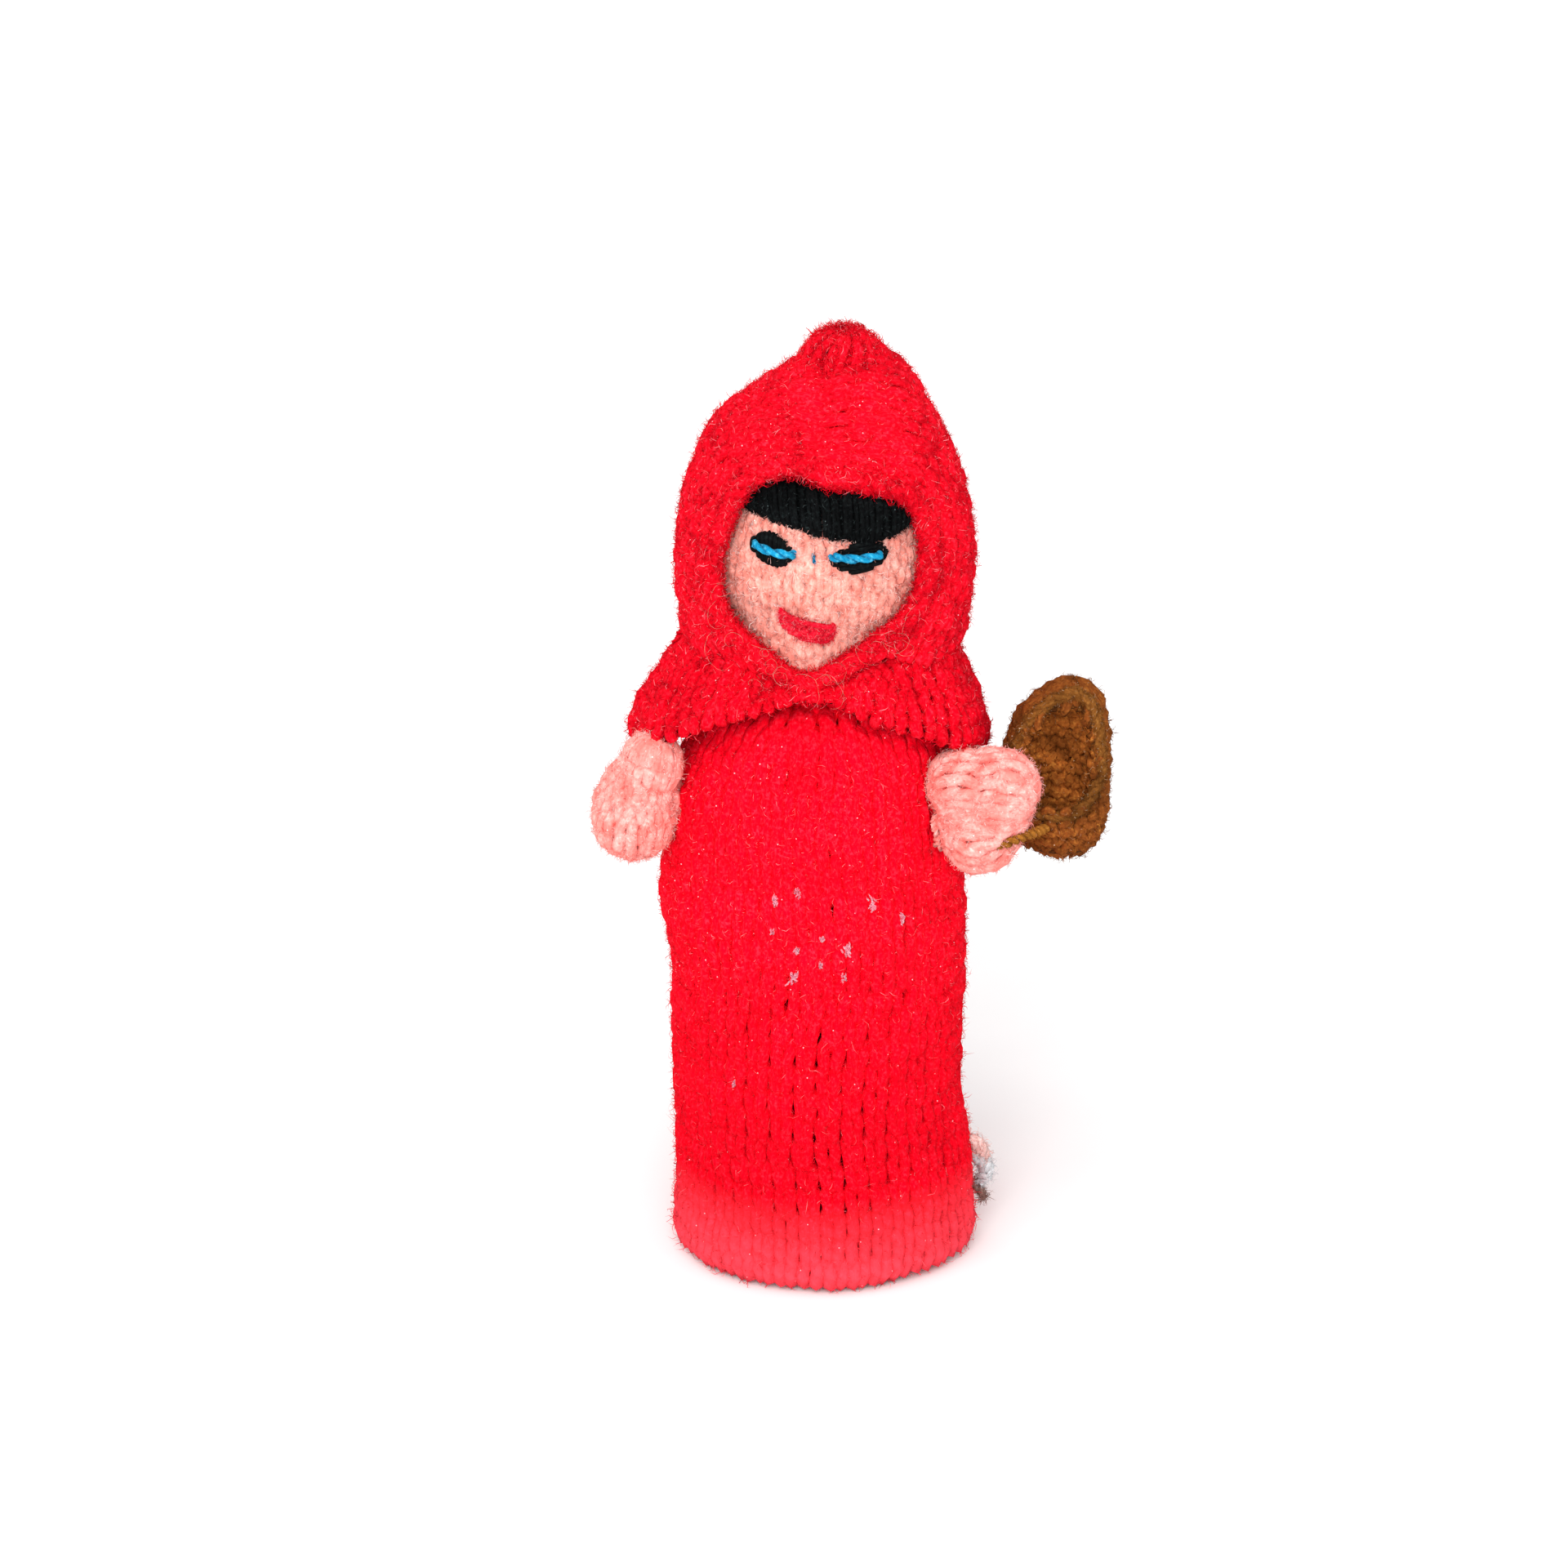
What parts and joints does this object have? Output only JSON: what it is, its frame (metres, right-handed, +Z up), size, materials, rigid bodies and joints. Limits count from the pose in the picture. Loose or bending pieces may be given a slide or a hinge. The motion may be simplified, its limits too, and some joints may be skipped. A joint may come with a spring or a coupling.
{
  "type": "knitted finger puppet",
  "caption": "Hand-knitted finger puppet of a hooded girl: tube dress with a finger pocket, shoulder cape, stuffed head and arms, fringe, stitched face and a small knitted basket.",
  "frame": {"origin": "centre of the finger pocket's mouth, in the plane that the hem rests on", "axes": "+Z up along the body, the face looks to -Y, the basket is on the +X side"},
  "size_m": [0.0462, 0.03, 0.0884],
  "materials": {
    "red_knit_dress": "bright red knitted yarn, matt with a slight sheen",
    "red_knit_cape": "darker red knitted yarn",
    "red_knit_hood": "red knitted yarn, fuzzy",
    "red_knit_edge": "red cast-off edge, rope like",
    "red_yarn": "red sewing yarn",
    "peach_knit_face": "peach knitted yarn, hairy",
    "pink_knit_arm": "pink knitted yarn",
    "pink_yarn": "pink sewing yarn",
    "black_yarn": "black yarn in satin stitch",
    "blue_yarn": "bright blue two-ply yarn",
    "mouth_yarn": "red yarn in satin stitch",
    "white_wadding": "white polyester wadding",
    "brown_knit_basket": "brown knitted yarn, purl side out",
    "brown_yarn": "brown yarn strand",
    "pale_yarn": "loose pale yarn ends"
  },
  "bodies": {
    "torso": {"dress_tube": "red_knit_dress", "chest_wadding": "white_wadding", "cape": "red_knit_cape", "dress_back_seam": "red_yarn", "cape_neck_stitches": "red_yarn", "yarn_ends": "pale_yarn"},
    "neck": {"neck_core": "white_wadding"},
    "neck_collar": {"neck_tie": "red_yarn"},
    "head": {"head_cover": "peach_knit_face", "head_wadding": "white_wadding", "hood": "red_knit_hood", "hood_tip_gather": "red_knit_hood", "hood_edge_cord": "red_knit_edge", "hood_back_seam": "red_yarn", "hair_fringe": "black_yarn", "eye_patch_free_side": "black_yarn", "eye_patch_basket_side": "black_yarn", "eye_strand_free_side": "blue_yarn", "eye_strand_basket_side": "blue_yarn", "mouth_stitches": "mouth_yarn"},
    "free_shoulder": {"free_shoulder_stitches": "pink_yarn"},
    "free_arm": {"free_arm_cover": "pink_knit_arm", "free_arm_wadding": "white_wadding"},
    "basket_shoulder": {"basket_shoulder_stitches": "pink_yarn"},
    "basket_arm": {"basket_arm_cover": "pink_knit_arm", "basket_arm_wadding": "white_wadding", "basket_tie": "brown_yarn"},
    "basket": {"basket_cup": "brown_knit_basket", "basket_rim": "brown_knit_basket"}
  },
  "joints": [
    {"name": "head_nod", "type": "hinge", "parent": "torso", "child": "neck", "pos_m": [0.0003, 0, 0.0546], "axis": [1, 0, 0], "range_deg": [-10, 10], "stiffness_Nm_per_rad": 0.004},
    {"name": "head_turn", "type": "hinge", "parent": "neck", "child": "neck_collar", "pos_m": [0.0003, 0, 0.0546], "axis": [0, 0, 1], "range_deg": [-22, 22], "stiffness_Nm_per_rad": 0.004},
    {"name": "head_tilt", "type": "hinge", "parent": "neck_collar", "child": "head", "pos_m": [0.0003, 0, 0.0546], "axis": [0, 1, 0], "range_deg": [-7, 7], "stiffness_Nm_per_rad": 0.004},
    {"name": "free_arm_swing", "type": "hinge", "parent": "torso", "child": "free_shoulder", "pos_m": [-0.0138, -0.0025, 0.0442], "axis": [0, 0, 1], "range_deg": [-18, 28], "stiffness_Nm_per_rad": 0.0015},
    {"name": "free_arm_lift", "type": "hinge", "parent": "free_shoulder", "child": "free_arm", "pos_m": [-0.0138, -0.0025, 0.0442], "axis": [-0.1783, 0.984, 0], "range_deg": [-12, 18], "stiffness_Nm_per_rad": 0.0015},
    {"name": "basket_arm_swing", "type": "hinge", "parent": "torso", "child": "basket_shoulder", "pos_m": [0.01238, -0.00658, 0.044], "axis": [0, 0, -1], "range_deg": [-6, 25], "stiffness_Nm_per_rad": 0.0015},
    {"name": "basket_arm_lift", "type": "hinge", "parent": "basket_shoulder", "child": "basket_arm", "pos_m": [0.01238, -0.00658, 0.044], "axis": [-0.4695, -0.8829, 0], "range_deg": [-15, 6], "stiffness_Nm_per_rad": 0.0015},
    {"name": "basket_swing", "type": "hinge", "parent": "basket_arm", "child": "basket", "pos_m": [0.0188, -0.0062, 0.0455], "axis": [0, 0, 1], "range_deg": [-20, 4], "stiffness_Nm_per_rad": 0.0015}
  ]
}
